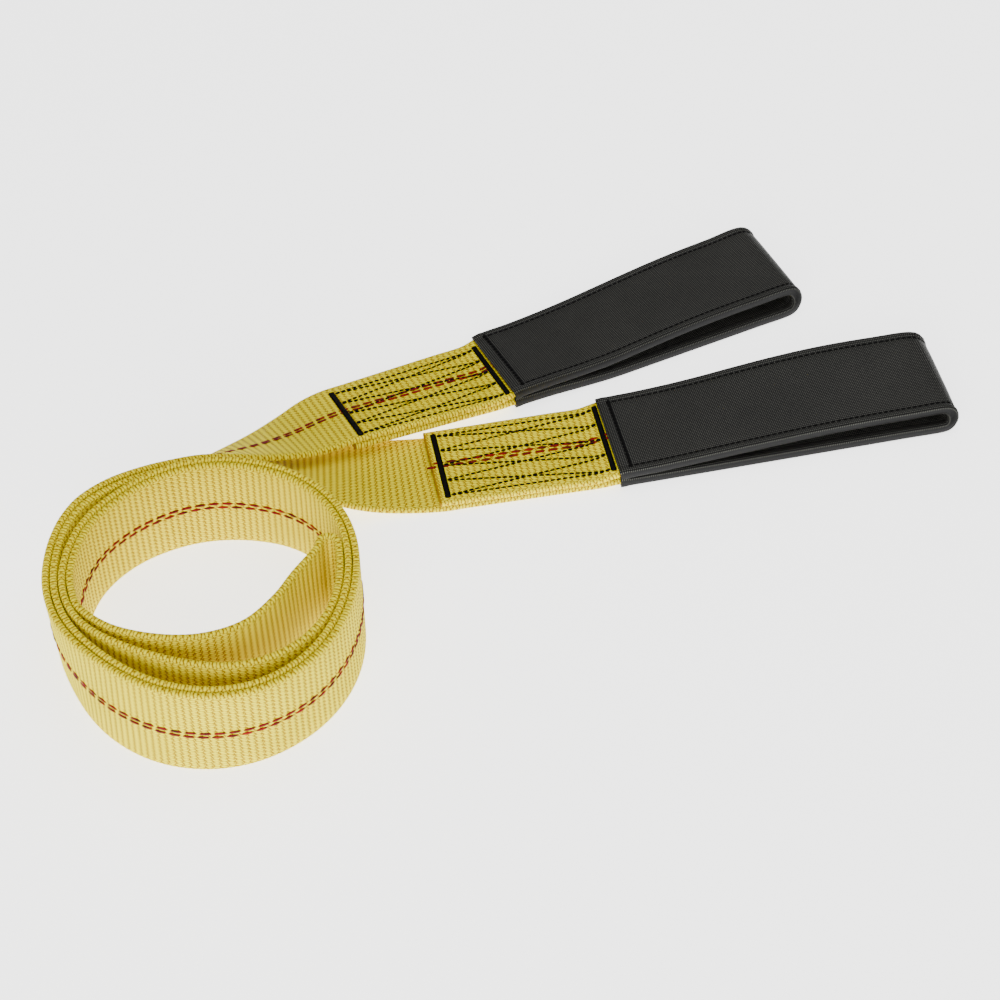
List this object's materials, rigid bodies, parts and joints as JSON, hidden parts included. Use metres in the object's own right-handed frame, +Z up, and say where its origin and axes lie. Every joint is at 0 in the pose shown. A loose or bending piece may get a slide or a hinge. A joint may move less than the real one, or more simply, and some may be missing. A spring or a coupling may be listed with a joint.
{
  "type": "lifting sling",
  "caption": "Flat woven eye-and-eye lifting sling, rolled into a coil, with sleeved eyes at both ends.",
  "frame": {"origin": "middle of the footprint of the whole rolled-up sling, on the floor it lies on", "axes": "+X from the coil towards the two eyes, the longest way; +Y across, from the front eye to the rear eye; +Z up, the shortest way"},
  "size_m": [0.4404, 0.3488, 0.0503],
  "materials": {
    "webbing": "woven polyester, matt with a slight sheen",
    "sleeve": "coated woven fabric, satin",
    "thread": "polyester thread, matt"
  },
  "bodies": {
    "root": {"webbing": "webbing", "eye_sleeve_front": "sleeve", "eye_sleeve_rear": "sleeve", "splice_stitching_front": "thread", "splice_stitching_rear": "thread"}
  },
  "joints": []
}
